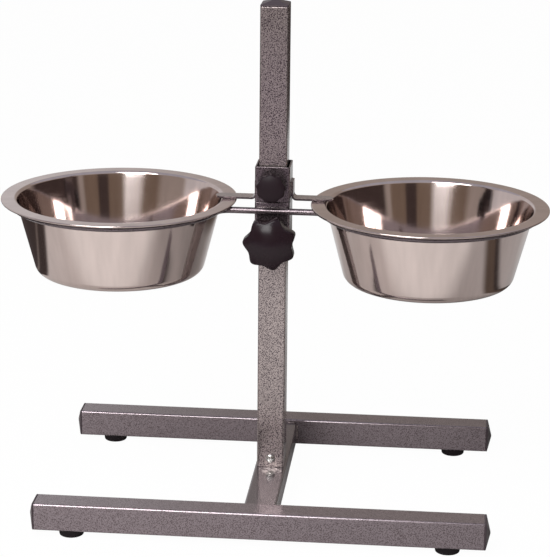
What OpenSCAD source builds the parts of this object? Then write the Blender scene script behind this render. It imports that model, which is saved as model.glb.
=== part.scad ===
// Height-adjustable double bowl stand for a dog: an H-shaped base of square tube, an upright post,
// a sliding ring frame that carries two steel bowls, and a hold-down clamp whose arms lie on the rims.
// Millimetres. +Z is up, +X is to the right and -Y is the front. The origin is on the floor, on the post's axis.

/* [Base] */
// Length of each foot bar's tube
foot_bar_len = 412; // [320:1:520]
// Side of the foot bars' square tube
foot_bar_size = 26; // [22:1:34]
// Distance between the foot bars' centre lines
foot_bar_spacing = 250; // [200:5:340]
// Width of the cross bar's flat tube
cross_bar_w = 30; // [26:1:40]
// Height of the cross bar's flat tube
cross_bar_h = 20; // [14:1:21]
// Wall of the base's and post's tubes
tube_wall = 1.5; // [1:0.1:2.2]
// Outer corner radius of all tubes
tube_corner = 2; // [1:0.1:3]

/* [Feet] */
// Height of a rubber foot below its foot bar
foot_h = 7; // [6:0.5:16]
// Diameter of a foot where it meets the tube
foot_top_d = 25; // [20:0.5:25]
// Diameter of a foot on the floor
foot_bottom_d = 21.5; // [14:0.5:23]
// Distance from a foot bar's end to its foot's centre
foot_inset = 33; // [20:1:60]
// Distance of the middle foot behind the post's axis
middle_foot_back = 30; // [22:1:60]
// Shank diameter of a foot's screw
foot_screw_d = 4; // [3:0.1:5]
// Head diameter of a foot's screw
foot_screw_head_d = 8; // [6:0.1:9]
// Head height of a foot's screw
foot_screw_head_h = 2.4; // [1.5:0.1:3]
// Length of a foot's screw above the top of its foot
foot_screw_reach = 5; // [3:0.5:8]

/* [End caps] */
// Thickness of a cap's flange outside the tube
cap_flange = 1.5; // [1:0.1:3]
// Height of a cap's shallow pyramid
cap_peak = 4; // [1:0.1:6]
// Depth of a cap's plug inside the tube
cap_plug = 12; // [6:0.5:20]
// Wall of a cap's hollow plug
cap_plug_wall = 1.6; // [1:0.1:3]

/* [Post] */
// Side of the post's square tube
post_size = 26; // [22:0.5:28]
// Length of the post's tube
post_len = 445; // [430:1:700]
// Height of the stub inside the post's foot
stub_len = 60; // [40:1:100]
// Room between the stub and the post, each side
stub_room = 0.5; // [0.2:0.1:1.5]
// Height of the retaining screw above the post's foot
post_screw_z = 9; // [7:0.5:30]
// Shank diameter of the retaining screw
post_screw_d = 5; // [4:0.1:6]
// Head diameter of the retaining screw
post_screw_head_d = 9; // [7.5:0.1:12]
// Head height of the retaining screw
post_screw_head_h = 2.8; // [2:0.1:4]
// Length of the retaining screw's shank
post_screw_len = 9; // [6:0.5:14]

/* [Ring frame] */
// Height of the lower sleeve's bottom edge above the floor
carriage_z = 243.5; // [120:0.5:260]
// Side of both sleeves' square tube
sleeve_size = 32.5; // [31:0.5:36]
// Wall of both sleeves
sleeve_wall = 1.5; // [1:0.1:1.7]
// Height of the lower sleeve
sleeve_h = 50; // [46:1:70]
// Diameter of the ring frame's wire
wire_d = 6; // [4:0.1:8]
// Depth of the wire's centre line below the lower sleeve's top
wire_drop = 7.2; // [5:0.1:9]
// Distance of each bowl's axis from the post's axis
ring_x = 145.5; // [138:0.5:180]
// Radius of the bend from the front wire into a ring
ring_bend_r = 12; // [8:0.5:20]

/* [Bowls] */
// Outer diameter of a bowl's rim
rim_d = 221; // [210:1:230]
// Diameter inside the flat of the rim
mouth_d = 197; // [185:1:202]
// Depth of a bowl outside
bowl_depth = 72.5; // [50:0.5:90]
// Lean of a bowl's wall from upright, in degrees
bowl_lean = 13.8; // [5:0.1:20]
// Radius of the bowl's outer bottom corner
bowl_corner_r = 10.5; // [5:0.5:20]
// Radius of the turn from the wall into the rim
rim_turn_r = 3.3; // [2.5:0.1:6]
// Thickness of the bowl's sheet
bowl_sheet = 0.9; // [0.6:0.1:1.5]
// Diameter of the rolled edge of the rim
rim_bead_d = 1.8; // [1.8:0.1:3]

/* [Hold-down clamp] */
// Height of the clamp's sleeve
clamp_sleeve_h = 33.5; // [30:0.5:50]
// Width of an arm's strip
arm_w = 15; // [12:0.5:20]
// Thickness of an arm's strip
arm_t = 1.8; // [1.5:0.1:3]
// Reach of an arm from the sleeve's side to its rounded tip
arm_reach = 39; // [34:0.5:46]
// Height of an arm's upright leg
arm_leg = 18; // [14:0.5:28]
// Inside radius of an arm's bend
arm_bend_r = 3; // [1:0.5:6]

/* [Height knob] */
// Diameter across the lobes
height_knob_d = 50; // [42:0.5:56]
// Number of lobes
height_knob_lobes = 7; // [5:1:9]
// Height of the knob's axis above the lower sleeve's bottom edge
height_knob_z = 16.5; // [14:0.5:20]
// Diameter of the knob's stud
height_stud_d = 8; // [6:0.5:10]
// Diameter of the welded nut
height_nut_d = 16; // [13:0.5:22]
// Length of the welded nut
height_nut_h = 6; // [4:0.5:10]
// Length of the lobes' side wall
height_knob_wall = 11; // [8:0.5:16]
// Rise of the knob's crown
height_knob_crown = 8; // [5:0.5:12]
// Length of the knob's hub behind the lobes
height_knob_hub = 6; // [3:0.5:10]

/* [Clamp knob] */
// Diameter across the lobes
clamp_knob_d = 27.5; // [25:0.5:30]
// Number of lobes
clamp_knob_lobes = 9; // [7:1:11]
// Diameter of the knob's stud
clamp_stud_d = 6; // [5:0.5:7]
// Diameter of the welded nut
clamp_nut_d = 11; // [10:0.5:14]
// Length of the welded nut
clamp_nut_h = 4; // [3:0.5:6]
// Length of the lobes' side wall
clamp_knob_wall = 7; // [5:0.5:10]
// Rise of the knob's crown
clamp_knob_crown = 4; // [3:0.5:8]
// Length of the knob's hub behind the lobes
clamp_knob_hub = 3; // [2:0.5:6]

/* [Fits] */
// Radial clearance of a stud in its nut and knob, and of a screw in its hole
running_clear = 0.05; // [0.02:0.01:0.1]
// Clearance of a cap's plug in its tube, each side
plug_clear = 0.1; // [0.05:0.05:0.3]
// Gap left between parts that rest on each other but come apart
seat_gap = 0.3; // [0.1:0.1:0.5]
// Gap between a sleeve's back wall and the post when its knob is tight
slide_gap = 0.1; // [0.05:0.05:0.3]
// Room between a bowl's wall and the wire of its ring
ring_room = 0.75; // [0.4:0.05:2]
// Room round a stud where it passes through a sleeve's wall
stud_room = 0.5; // [0.2:0.1:1]
// Gap between a nut and its knob's hub when the knob is tight
knob_gap = 1; // [0.5:0.1:3]

/* [Hidden] */
$fn = 64;
hammertone = "#746c6b";
steel = "#cfc8c2";
zinc = "#a9a8a6";
black = "#2a2527";

// Straight pieces that draw one round corner of a profile
corner_steps = 5;
// Points that draw one lobe of a knob
lobe_steps = 12;
// Depth of the hollows between a knob's lobes, as a share of its radius
height_knob_hollow = 0.17;
clamp_knob_hollow = 0.1;
// Length by which a cutting tool passes the face that it cuts
over = 1;

// Base
front_y = -foot_bar_spacing / 2;
rear_y = foot_bar_spacing / 2;
bar_mid_z = foot_h + foot_bar_size / 2;
cross_bar_len = foot_bar_spacing - foot_bar_size;
cross_bar_bottom = bar_mid_z - cross_bar_h / 2;
cross_bar_top = bar_mid_z + cross_bar_h / 2;
foot_x = foot_bar_len / 2 - foot_inset;
foot_screw_hole_d = foot_screw_d + 2 * running_clear;
foot_recess_d = foot_screw_head_d + 2 * seat_gap;
// Rubber left between a screw's head and the tube
foot_floor = 3;

// Post
post_z = cross_bar_top;
post_top = post_z + post_len;
stub_size = post_size - 2 * (tube_wall + stub_room);
post_screw_hole_d = post_screw_d + 2 * running_clear;

// Sleeves stand forward on the post, because their knobs pull them against its back
sleeve_y = -(sleeve_size / 2 - sleeve_wall - post_size / 2 - slide_gap);
sleeve_front = sleeve_y - sleeve_size / 2;
sleeve_back = sleeve_y + sleeve_size / 2;
sleeve_top = carriage_z + sleeve_h;
clamp_z = sleeve_top + seat_gap;
stud_tip_y = -post_size / 2 - running_clear;
height_axis_z = carriage_z + height_knob_z;
clamp_axis_z = clamp_z + clamp_sleeve_h / 2;

// Knobs, each with its hub's end in front of its nut
height_hub_y = sleeve_front - height_nut_h - knob_gap;
clamp_hub_y = sleeve_front - clamp_nut_h - knob_gap;
// Turn of the height knob's first lobe from upright, in degrees
height_knob_turn = -16;

// Ring frame and bowls
// Centre of the arc of a bowl's bottom corner
bowl_corner_x = mouth_d / 2 - (bowl_corner_r + rim_turn_r - bowl_sheet
    + (bowl_depth - rim_turn_r - bowl_corner_r) * sin(bowl_lean)) / cos(bowl_lean);
wire_z = sleeve_top - wire_drop;
wire_y = sleeve_front - wire_d / 2 - running_clear;
// The rim's rolled edge crosses the front wire, so it stands clear of the wire's top
rim_z = wire_z + wire_d / 2 + seat_gap + rim_bead_d;
ring_r = bowl_wall_r(wire_z - rim_z) + ring_room + wire_d / 2;
// How far the front wire runs in front of the rings' centres
wire_ahead = sleeve_y - wire_y;
ring_bend_x = ring_x - sqrt(pow(ring_r + ring_bend_r, 2) - pow(wire_ahead + ring_bend_r, 2));
ring_start = asin((wire_ahead + ring_bend_r) / (ring_r + ring_bend_r));
// The ring's end is welded into the side of its own bend
ring_end = asin((wire_ahead - wire_d / 5) / ring_r);
arm_z = rim_z + seat_gap;
// Rise and length of the weld beads where the ring frame's lengths of wire meet
weld_rise = 0.1;
weld_len = 1.6;

// Outer radius of a bowl's straight wall at a height z above its rim
function bowl_wall_r(z) = bowl_corner_x + (bowl_corner_r + (z + bowl_depth - bowl_corner_r) * sin(bowl_lean))
    / cos(bowl_lean);

// Points of an arc round a centre
function arc(x, y, r, from, to, steps) = [
    for (i = [0 : steps]) let (a = from + (to - from) * i / steps) [x + r * cos(a), y + r * sin(a)]
];

// Outline of a rectangle with round corners
function round_rect(w, h, r) = [
    for (q = [0 : 3])
        let (cx = (q == 0 || q == 3 ? 1 : -1) * (w / 2 - r), cy = (q < 2 ? 1 : -1) * (h / 2 - r))
            each arc(cx, cy, r, 90 * q, 90 * q + 90, corner_steps)
];

// Outline of a lobed knob with narrow tips and wide hollows, with its first lobe on +Y
function lobed_outline(d, lobes, hollow) =
    let (tip_r = d / 2, depth = tip_r * hollow, blunt = 0.45, full = sqrt(1 + blunt * blunt) - blunt) [
        for (i = [0 : lobes * lobe_steps - 1])
            let (
                a = 360 * i / (lobes * lobe_steps),
                away = sin(lobes * a / 2),
                r = tip_r - depth * (sqrt(away * away + blunt * blunt) - blunt) / full
            ) [r * sin(a), r * cos(a)]
    ];

// Half section of a bowl, from the rim's top at height 0 down to its base
function bowl_section() =
    let (
        inner_corner_r = bowl_corner_r - bowl_sheet,
        corner_z = bowl_corner_r - bowl_depth,
        turn_x = mouth_d / 2,
        bead_r = rim_bead_d / 2,
        bead_end = 180 - asin((bead_r - bowl_sheet) / bead_r)
    ) concat(
        [[0, -bowl_depth]],
        arc(bowl_corner_x, corner_z, bowl_corner_r, -90, -bowl_lean, corner_steps * 2),
        arc(turn_x, -rim_turn_r, rim_turn_r - bowl_sheet, 180 - bowl_lean, 90, corner_steps),
        arc(rim_d / 2 - bead_r, -bead_r, bead_r, bead_end, 450, corner_steps * 3),
        arc(turn_x, -rim_turn_r, rim_turn_r, 90, 180 - bowl_lean, corner_steps),
        arc(bowl_corner_x, corner_z, inner_corner_r, -bowl_lean, -90, corner_steps * 2),
        [[0, bowl_sheet - bowl_depth]]
    );

// A tube of rectangular section, standing on its end
module rect_tube(w, h, wall, len) {
    inner_r = max(tube_corner - wall, tube_corner / 5);
    difference() {
        linear_extrude(len) polygon(round_rect(w, h, tube_corner));
        translate([0, 0, -over])
            linear_extrude(len + 2 * over) polygon(round_rect(w - 2 * wall, h - 2 * wall, inner_r));
    }
}

// Places its children with their own Z pointing out of the front
module facing_front(y, z) {
    translate([0, y, z]) rotate([90, 0, 0]) children();
}

// A foot bar with the holes of its foot screws
module foot_bar(y) {
    color(hammertone) difference() {
        translate([-foot_bar_len / 2, y, bar_mid_z]) rotate([90, 0, 90])
            rect_tube(foot_bar_size, foot_bar_size, tube_wall, foot_bar_len);
        for (side = [-1, 1])
            translate([side * foot_x, y, foot_h - over])
                cylinder(d = foot_screw_hole_d, h = tube_wall + 2 * over);
    }
}

module front_foot_bar() { foot_bar(front_y); }
module rear_foot_bar() { foot_bar(rear_y); }

module cross_bar() {
    color(hammertone) difference() {
        translate([0, cross_bar_len / 2, bar_mid_z]) rotate([90, 0, 0])
            rect_tube(cross_bar_w, cross_bar_h, tube_wall, cross_bar_len);
        translate([0, middle_foot_back, cross_bar_bottom - over])
            cylinder(d = foot_screw_hole_d, h = tube_wall + 2 * over);
    }
}

// A shallow four-sided pyramid, standing on its base
module pyramid(side, peak) {
    intersection_for (turn = [0, 90])
        rotate([90, 0, turn]) linear_extrude(side, center = true)
            polygon([[-side / 2, 0], [side / 2, 0], [0, peak]]);
}

// A plug cap for a square tube, with the tube's end face at height 0
module tube_cap(size) {
    plug_size = size - 2 * (tube_wall + plug_clear);
    plug_r = max(tube_corner - tube_wall, tube_corner / 5);
    color(black) {
        difference() {
            translate([0, 0, -cap_plug])
                linear_extrude(cap_plug + cap_flange / 2) polygon(round_rect(plug_size, plug_size, plug_r));
            translate([0, 0, -cap_plug - over])
                linear_extrude(cap_plug + over)
                    square(plug_size - 2 * cap_plug_wall, center = true);
        }
        linear_extrude(cap_flange) polygon(round_rect(size, size, tube_corner));
        intersection() {
            translate([0, 0, cap_flange]) pyramid(size, cap_peak);
            linear_extrude(cap_flange + cap_peak) polygon(round_rect(size, size, tube_corner));
        }
    }
}

module foot_bar_cap(side, y) {
    translate([side * foot_bar_len / 2, y, bar_mid_z]) rotate([0, side * 90, 0]) tube_cap(foot_bar_size);
}

module front_left_cap() { foot_bar_cap(-1, front_y); }
module front_right_cap() { foot_bar_cap(1, front_y); }
module rear_left_cap() { foot_bar_cap(-1, rear_y); }
module rear_right_cap() { foot_bar_cap(1, rear_y); }

// A tapered rubber foot with a recess for its screw, standing on the floor
module rubber_foot(x, y, h) {
    color(black) translate([x, y, 0]) difference() {
        cylinder(d1 = foot_bottom_d, d2 = foot_top_d, h = h);
        translate([0, 0, -over]) cylinder(d = foot_recess_d, h = h - foot_floor + over);
        cylinder(d = foot_screw_hole_d, h = h + over);
    }
}

module front_left_foot() { rubber_foot(-foot_x, front_y, foot_h); }
module front_right_foot() { rubber_foot(foot_x, front_y, foot_h); }
module rear_left_foot() { rubber_foot(-foot_x, rear_y, foot_h); }
module rear_right_foot() { rubber_foot(foot_x, rear_y, foot_h); }
module middle_foot() { rubber_foot(0, middle_foot_back, cross_bar_bottom); }

// A foot's screw, with the top of its foot at height h
module foot_screw(x, y, h) {
    translate([x, y, h - foot_floor - foot_screw_head_h])
        cylinder(d = foot_screw_head_d, h = foot_screw_head_h);
    translate([x, y, h - foot_floor]) cylinder(d = foot_screw_d, h = foot_floor + foot_screw_reach);
}

module foot_screws() {
    color(zinc) {
        for (side = [-1, 1], y = [front_y, rear_y]) foot_screw(side * foot_x, y, foot_h);
        foot_screw(0, middle_foot_back, cross_bar_bottom);
    }
}

// The stub that is welded to the cross bar and stands inside the post
module post_stub() {
    color(hammertone) difference() {
        translate([0, 0, post_z]) rect_tube(stub_size, stub_size, tube_wall, stub_len);
        facing_front(0, post_z + post_screw_z) cylinder(d = post_screw_hole_d, h = post_size);
    }
}

module post() {
    color(hammertone) difference() {
        translate([0, 0, post_z]) rect_tube(post_size, post_size, tube_wall, post_len);
        facing_front(0, post_z + post_screw_z) cylinder(d = post_screw_hole_d, h = post_size);
    }
}

module post_cap() { translate([0, 0, post_top]) tube_cap(post_size); }

// The screw that keeps the post on its stub
module post_screw() {
    crown_r = (pow(post_screw_head_d / 2, 2) + pow(post_screw_head_h, 2)) / (2 * post_screw_head_h);
    color(zinc) facing_front(-post_size / 2, post_z + post_screw_z) {
        intersection() {
            cylinder(d = post_screw_head_d, h = post_screw_head_h);
            translate([0, 0, post_screw_head_h - crown_r]) sphere(crown_r);
        }
        translate([0, 0, -post_screw_len]) cylinder(d = post_screw_d, h = post_screw_len + over / 2);
    }
}

// A sleeve of square tube with a hole for its stud
module sleeve(z, h, axis_z, stud_d) {
    color(hammertone) difference() {
        translate([0, sleeve_y, z]) rect_tube(sleeve_size, sleeve_size, sleeve_wall, h);
        facing_front(sleeve_y, axis_z) cylinder(d = stud_d + 2 * stud_room, h = sleeve_size);
    }
}

module height_sleeve() { sleeve(carriage_z, sleeve_h, height_axis_z, height_stud_d); }
module clamp_sleeve() { sleeve(clamp_z, clamp_sleeve_h, clamp_axis_z, clamp_stud_d); }

// A round nut welded on a sleeve's front
module weld_nut(axis_z, d, h, stud_d) {
    color(hammertone) facing_front(sleeve_front, axis_z) difference() {
        cylinder(d = d, h = h);
        translate([0, 0, -over]) cylinder(d = stud_d + 2 * running_clear, h = h + 2 * over);
    }
}

module height_nut() { weld_nut(height_axis_z, height_nut_d, height_nut_h, height_stud_d); }
module clamp_nut() { weld_nut(clamp_axis_z, clamp_nut_d, clamp_nut_h, clamp_stud_d); }

// A round wire bent round a centre
module wire_arc(x, y, r, from, to) {
    translate([x, y, wire_z]) rotate([0, 0, from])
        rotate_extrude(angle = to - from) translate([r, 0]) circle(d = wire_d);
}

// The bead of a butt weld between two lengths of wire that run along angle a
module wire_weld(x, y, a) {
    translate([x, y, wire_z]) rotate([0, 90, a]) cylinder(d = wire_d + 2 * weld_rise, h = weld_len, center = true);
}

// The front wire, which bends into a ring at each end
module bowl_ring_frame() {
    straight = ring_bend_x - weld_len / 4;
    bend_cut = weld_len / 4 / ring_bend_r * 180 / PI;
    ring_cut = weld_len / 4 / ring_r * 180 / PI;
    color(hammertone) {
        translate([-straight, wire_y, wire_z]) rotate([0, 90, 0]) cylinder(d = wire_d, h = 2 * straight);
        for (flip = [0, 1]) mirror([flip, 0, 0]) {
            wire_weld(ring_bend_x, wire_y, 0);
            wire_arc(ring_bend_x, wire_y - ring_bend_r, ring_bend_r, ring_start + bend_cut, 90 - bend_cut);
            wire_weld(ring_x - ring_r * cos(ring_start), sleeve_y - ring_r * sin(ring_start), ring_start + 90);
            wire_arc(ring_x, sleeve_y, ring_r, 180 + ring_start + ring_cut, 540 + ring_end);
        }
    }
}

// Depth of a knob's blind hole for its stud
function stud_seat(hub, wall) = hub + wall * 0.8;

// A star knob: a lobed head with a crown, hollow round a hub that holds the stud
module star_knob(d, lobes, hollow, hub, wall, crown, stud_d) {
    hub_d = stud_d * 2.2;
    shell = d * 0.06;
    hollow_r = d / 2 * (1 - hollow) - shell;
    color(black) difference() {
        union() {
            cylinder(d = hub_d, h = hub + wall / 2);
            intersection() {
                translate([0, 0, hub]) linear_extrude(wall + crown) polygon(lobed_outline(d, lobes, hollow));
                translate([0, 0, hub]) rotate_extrude() polygon(concat(
                    [[0, 0], [d / 2 + over, 0], [d / 2 + over, wall]],
                    [for (i = [0 : lobe_steps]) let (a = 90 * i / lobe_steps)
                        [d / 2 * cos(a), wall + crown * sin(a)]]
                ));
            }
        }
        translate([0, 0, hub - over]) difference() {
            cylinder(r = hollow_r, h = wall * 0.7 + over);
            translate([0, 0, -over]) cylinder(d = hub_d, h = wall + 3 * over);
        }
        translate([0, 0, -over]) cylinder(d = stud_d + 2 * running_clear, h = stud_seat(hub, wall) + over);
    }
}

module height_knob() {
    facing_front(height_hub_y, height_axis_z) rotate([0, 0, height_knob_turn])
        star_knob(height_knob_d, height_knob_lobes, height_knob_hollow, height_knob_hub, height_knob_wall,
            height_knob_crown, height_stud_d);
}

module clamp_knob() {
    facing_front(clamp_hub_y, clamp_axis_z)
        star_knob(clamp_knob_d, clamp_knob_lobes, clamp_knob_hollow, clamp_knob_hub, clamp_knob_wall,
            clamp_knob_crown, clamp_stud_d);
}

// A knob's stud, from the post's face to the end of its seat in the knob
module stud(axis_z, d, hub_y, seat) {
    len = stud_tip_y - hub_y + seat - running_clear;
    color(zinc) facing_front(stud_tip_y, axis_z) cylinder(d = d, h = len);
}

module height_stud() {
    stud(height_axis_z, height_stud_d, height_hub_y, stud_seat(height_knob_hub, height_knob_wall));
}

module clamp_stud() {
    stud(clamp_axis_z, clamp_stud_d, clamp_hub_y, stud_seat(clamp_knob_hub, clamp_knob_wall));
}

// A bent strip: its leg is welded to the sleeve's side, and its round-tipped arm lies over the rim
module right_clamp_arm() {
    outer_r = arm_bend_r + arm_t;
    tip_r = arm_w / 2;
    color(hammertone) translate([sleeve_size / 2, sleeve_back - tip_r, arm_z]) intersection() {
        rotate([90, 0, 0]) linear_extrude(arm_w, center = true) polygon(concat(
            arc(outer_r, outer_r, outer_r, 180, 270, corner_steps),
            [[arm_reach, 0], [arm_reach, arm_t]],
            arc(outer_r, outer_r, arm_bend_r, 270, 180, corner_steps),
            [[arm_t, arm_leg], [0, arm_leg]]
        ));
        linear_extrude(arm_leg) polygon(concat(
            [[0, tip_r], [0, -tip_r]],
            arc(arm_reach - tip_r, 0, tip_r, -90, 90, corner_steps * 4)
        ));
    }
}

module left_clamp_arm() { mirror([1, 0, 0]) right_clamp_arm(); }

module bowl(side) {
    color(steel) translate([side * ring_x, sleeve_y, rim_z]) rotate_extrude() polygon(bowl_section());
}

module left_bowl() { bowl(-1); }
module right_bowl() { bowl(1); }

front_foot_bar();
rear_foot_bar();
cross_bar();
front_left_cap();
front_right_cap();
rear_left_cap();
rear_right_cap();
front_left_foot();
front_right_foot();
rear_left_foot();
rear_right_foot();
middle_foot();
foot_screws();
post_stub();
post();
post_cap();
post_screw();
height_sleeve();
height_nut();
bowl_ring_frame();
height_stud();
height_knob();
clamp_sleeve();
clamp_nut();
left_clamp_arm();
right_clamp_arm();
clamp_stud();
clamp_knob();
left_bowl();
right_bowl();
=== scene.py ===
import math

import bmesh
import bpy
from mathutils import Matrix, Vector


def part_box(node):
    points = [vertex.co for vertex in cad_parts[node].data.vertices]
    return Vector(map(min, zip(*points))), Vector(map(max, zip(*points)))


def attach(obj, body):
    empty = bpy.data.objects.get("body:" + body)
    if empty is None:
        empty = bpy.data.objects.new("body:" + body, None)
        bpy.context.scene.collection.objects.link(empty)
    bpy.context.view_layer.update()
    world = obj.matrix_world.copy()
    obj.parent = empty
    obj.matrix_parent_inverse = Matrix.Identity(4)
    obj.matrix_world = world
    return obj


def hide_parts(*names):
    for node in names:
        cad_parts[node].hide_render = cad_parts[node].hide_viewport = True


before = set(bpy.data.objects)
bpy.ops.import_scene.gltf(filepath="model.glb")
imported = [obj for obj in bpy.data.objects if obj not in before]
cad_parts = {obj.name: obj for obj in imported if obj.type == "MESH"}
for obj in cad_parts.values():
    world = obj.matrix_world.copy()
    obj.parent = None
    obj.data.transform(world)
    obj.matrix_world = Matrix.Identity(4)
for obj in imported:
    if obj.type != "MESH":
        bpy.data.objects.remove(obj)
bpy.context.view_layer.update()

bl_info = {
    "name": "Dog feeder stand",
    "version": (1, 0, 0),
    "blender": (4, 5, 0),
    "location": "View3D > Sidebar > Feeder",
    "description": "Dresses the solids of a feeder stand with two bowls, and sets its stage",
    "category": "Object",
}

MM = 0.001
QUARTER = math.pi / 2
FRONT = Vector((0, -1, 0))
BACK = Vector((0, 1, 0))
UP = Vector((0, 0, 1))
RIGHT = Vector((1, 0, 0))
SIDES = {"left": -1, "right": 1}
BOWL_UV = "round_and_along"
# Most of a noise lies between these two values
NOISE_SPAN = (0.3, 0.7)


# Reading the frame

def low_of(node):
    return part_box(node)[0]


def high_of(node):
    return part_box(node)[1]


def size_of(node):
    return high_of(node) - low_of(node)


def middle_of(node):
    return (low_of(node) + high_of(node)) / 2


# Settings

def linear(text):
    """Turns an sRGB hex colour into linear red, green, blue and alpha."""
    parts = [int(text[i:i + 2], 16) / 255 for i in (1, 3, 5)]
    return tuple(p / 12.92 if p <= 0.04045 else ((p + 0.055) / 1.055) ** 2.4 for p in parts) + (1.0,)


def number(name, description, value, **settings):
    return bpy.props.FloatProperty(name=name, description=description, default=value, **settings)


def length(name, description, millimetres):
    return number(name, description, millimetres * MM, unit="LENGTH", subtype="DISTANCE", precision=5)


def angle(name, description, degrees):
    return number(name, description, math.radians(degrees), subtype="ANGLE")


def hollow(name, share):
    return number(name, "Depth of the hollows between lobes, as a share of the radius", share,
                  subtype="FACTOR", min=0, max=0.5)


def lobes(name, count):
    return bpy.props.IntProperty(name=name, description="How many lobes the knob has", default=count, min=3)


def colour(name, description, text):
    return bpy.props.FloatVectorProperty(name=name, description=description, default=linear(text),
                                         size=4, subtype="COLOR", min=0, max=1)


class FeederTubes(bpy.types.PropertyGroup):
    corner: length("Tube corner", "Outer corner radius of the square tubes", 2)
    wall: length("Tube wall", "Wall of the square tubes and sleeves", 1.5)
    sheared_edge: length("Sheared edge", "Rounding of the tubes' cut ends", 0.55)
    cap_flange: length("Cap flange", "Height of the flange of the plastic end caps", 1.5)
    cap_plug: length("Cap plug", "How far the plug of an end cap goes into its tube", 12)
    foot_top: length("Foot top", "Diameter of a rubber foot where it meets the tube", 25)
    foot_bottom: length("Foot bottom", "Diameter of a rubber foot on the floor", 21.5)
    foot_round: length("Foot rounding", "Rounding of a foot's lower edge", 1.4)
    foot_recess: length("Foot recess", "Diameter of the screw's recess in a foot", 8.6)
    foot_bore: length("Foot bore", "Diameter of the screw's hole in a foot", 4.1)
    foot_floor: length("Foot floor", "Rubber between a screw's head and the tube", 3)
    screw_head: length("Post screw head", "Height of the post screw's round head", 2.8)
    screw_shank: length("Post screw shank", "Diameter of the post screw", 5)
    screw_slot: length("Post screw slot", "Width of the arms of the post screw's recess", 0.95)


class FeederRings(bpy.types.PropertyGroup):
    wire: length("Wire", "Diameter of the ring frame's wire", 6)
    bend: length("Wire bend", "Radius of the bends between the front wire and the rings", 12)
    gap: length("Fitting gap", "Gap between the front wire and the sleeve", 0.05)
    bead: length("Weld bead", "Width of the weld beads", 2.2)
    bead_step: length("Weld ripple", "Spacing of the ripples of a weld bead", 0.9)
    bead_inset: length("Weld inset", "How far a weld bead stops short of an edge", 3)
    bead_sunk: length("Weld depth", "How far a weld bead is sunk into its seam", 0.3)
    arm_width: length("Arm width", "Width of the clamp arms", 15)
    arm_sheet: length("Arm sheet", "Thickness of the clamp arms", 1.8)
    arm_bend: length("Arm bend", "Inner radius of the clamp arms' bend", 3)
    arm_edge: length("Arm edge", "Rounding of the clamp arms' edges", 0.4)


class FeederBowls(bpy.types.PropertyGroup):
    mouth: length("Mouth", "Diameter where the flat rim turns down into the bowl", 197)
    lean: angle("Lean", "Lean of the bowl's wall from upright", 13.8)
    corner: length("Corner", "Outer radius between the wall and the base", 10.5)
    turn: length("Rim turn", "Radius where the rim turns down into the wall", 3.3)
    sheet: length("Sheet", "Thickness of the steel", 0.9)
    bead: length("Rolled edge", "Diameter of the rolled edge of the rim", 1.8)


class FeederKnobs(bpy.types.PropertyGroup):
    height_diameter: length("Height knob", "Diameter over the lobes of the height knob", 50)
    height_lobes: lobes("Height knob lobes", 7)
    height_hollow: hollow("Height knob hollows", 0.17)
    height_turn: angle("Height knob turn", "How far the height knob is turned at rest", 16)
    height_hub: length("Height knob hub", "How far the height knob's hub stands out behind", 6)
    height_wall: length("Height knob wall", "Height of the height knob's lobes under its crown", 11)
    height_swell: number("Height knob swell", "Exponent of the height knob's crown", 0.85)
    height_pitch: length("Height thread", "Pitch of the height stud's thread", 1.25)
    clamp_diameter: length("Clamp knob", "Diameter over the lobes of the clamp knob", 27.5)
    clamp_lobes: lobes("Clamp knob lobes", 9)
    clamp_hollow: hollow("Clamp knob hollows", 0.1)
    clamp_turn: angle("Clamp knob turn", "How far the clamp knob is turned at rest", 0)
    clamp_hub: length("Clamp knob hub", "How far the clamp knob's hub stands out behind", 3)
    clamp_wall: length("Clamp knob wall", "Height of the clamp knob's lobes under its crown", 7)
    clamp_swell: number("Clamp knob swell", "Exponent of the clamp knob's crown", 0.5)
    clamp_pitch: length("Clamp thread", "Pitch of the clamp stud's thread", 1)
    edge: length("Moulded edge", "Rounding of the height knob's edges; the clamp knob's follow its size", 0.9)


class FeederColours(bpy.types.PropertyGroup):
    paint: colour("Paint", "Raised cells of the hammertone paint", "#A19593")
    paint_pit: colour("Paint pits", "Pits between the cells of the hammertone paint", "#4C4246")
    paint_dimple: colour("Paint dimples", "Shallower pits in the paint of the bars and arms", "#64595C")
    # The foot bars' tone is the same paint darkened: painted shade for the dimmer light low by the floor
    bar: colour("Foot bar paint", "Hammertone paint of the foot bars", "#90858A")
    # The cross bar's tone is the same paint darkened further: painted shade for the dim light low between the
    # bars; its scuffs are real wear
    cross_bar: colour("Cross bar paint", "Duller hammertone paint of the cross bar", "#6F686B")
    # On the sleeves and nuts this is their darker paint; on the wire and the arms' front and back edges the
    # same tone is painted shade
    sleeve: colour("Sleeve paint", "Darker paint of the sleeves, nuts, wire and arms' edges", "#6C6064")
    sleeve_pit: colour("Sleeve pits", "Pits in the darker paint", "#40373A")
    bare: colour("Worn paint", "Where the paint has rubbed through to the steel", "#CFC8C6")
    steel: colour("Stainless steel", "Polished and satin steel of the bowls", "#CDBEB9")
    knob: colour("Knobs", "Moulded plastic of the knobs", "#20151A")
    cap: colour("Caps", "Moulded plastic of the end caps", "#40353A")
    rubber: colour("Feet", "Rubber of the feet", "#1D171A")
    zinc: colour("Zinc plate", "Plating of the screws and studs", "#C6C5C2")
    floor: colour("Floor", "Floor that the stand is on", "#F4F3F2")
    shade: colour("Floor's shade", "Floor in the stand's own shade, as the paint mirrors it", "#CBC6C4")
    far_floor: colour("Far floor", "Floor beyond the pale sheet, which the post mirrors", "#97879C")
    room_dark: colour("Dark walls", "Dark walls round the stage that the steel mirrors", "#463B39")
    room_brown: colour("Brown walls", "Brown walls round the stage", "#7E6E61")
    room_mid: colour("Middle walls", "Walls of a middle tone round the stage", "#A99F99")
    room_pale: colour("Pale walls", "Pale walls round the stage", "#D8D6D8")
    room_cool: colour("Ceiling", "Cool grey ceiling over the stage", "#B8BAC6")


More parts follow.
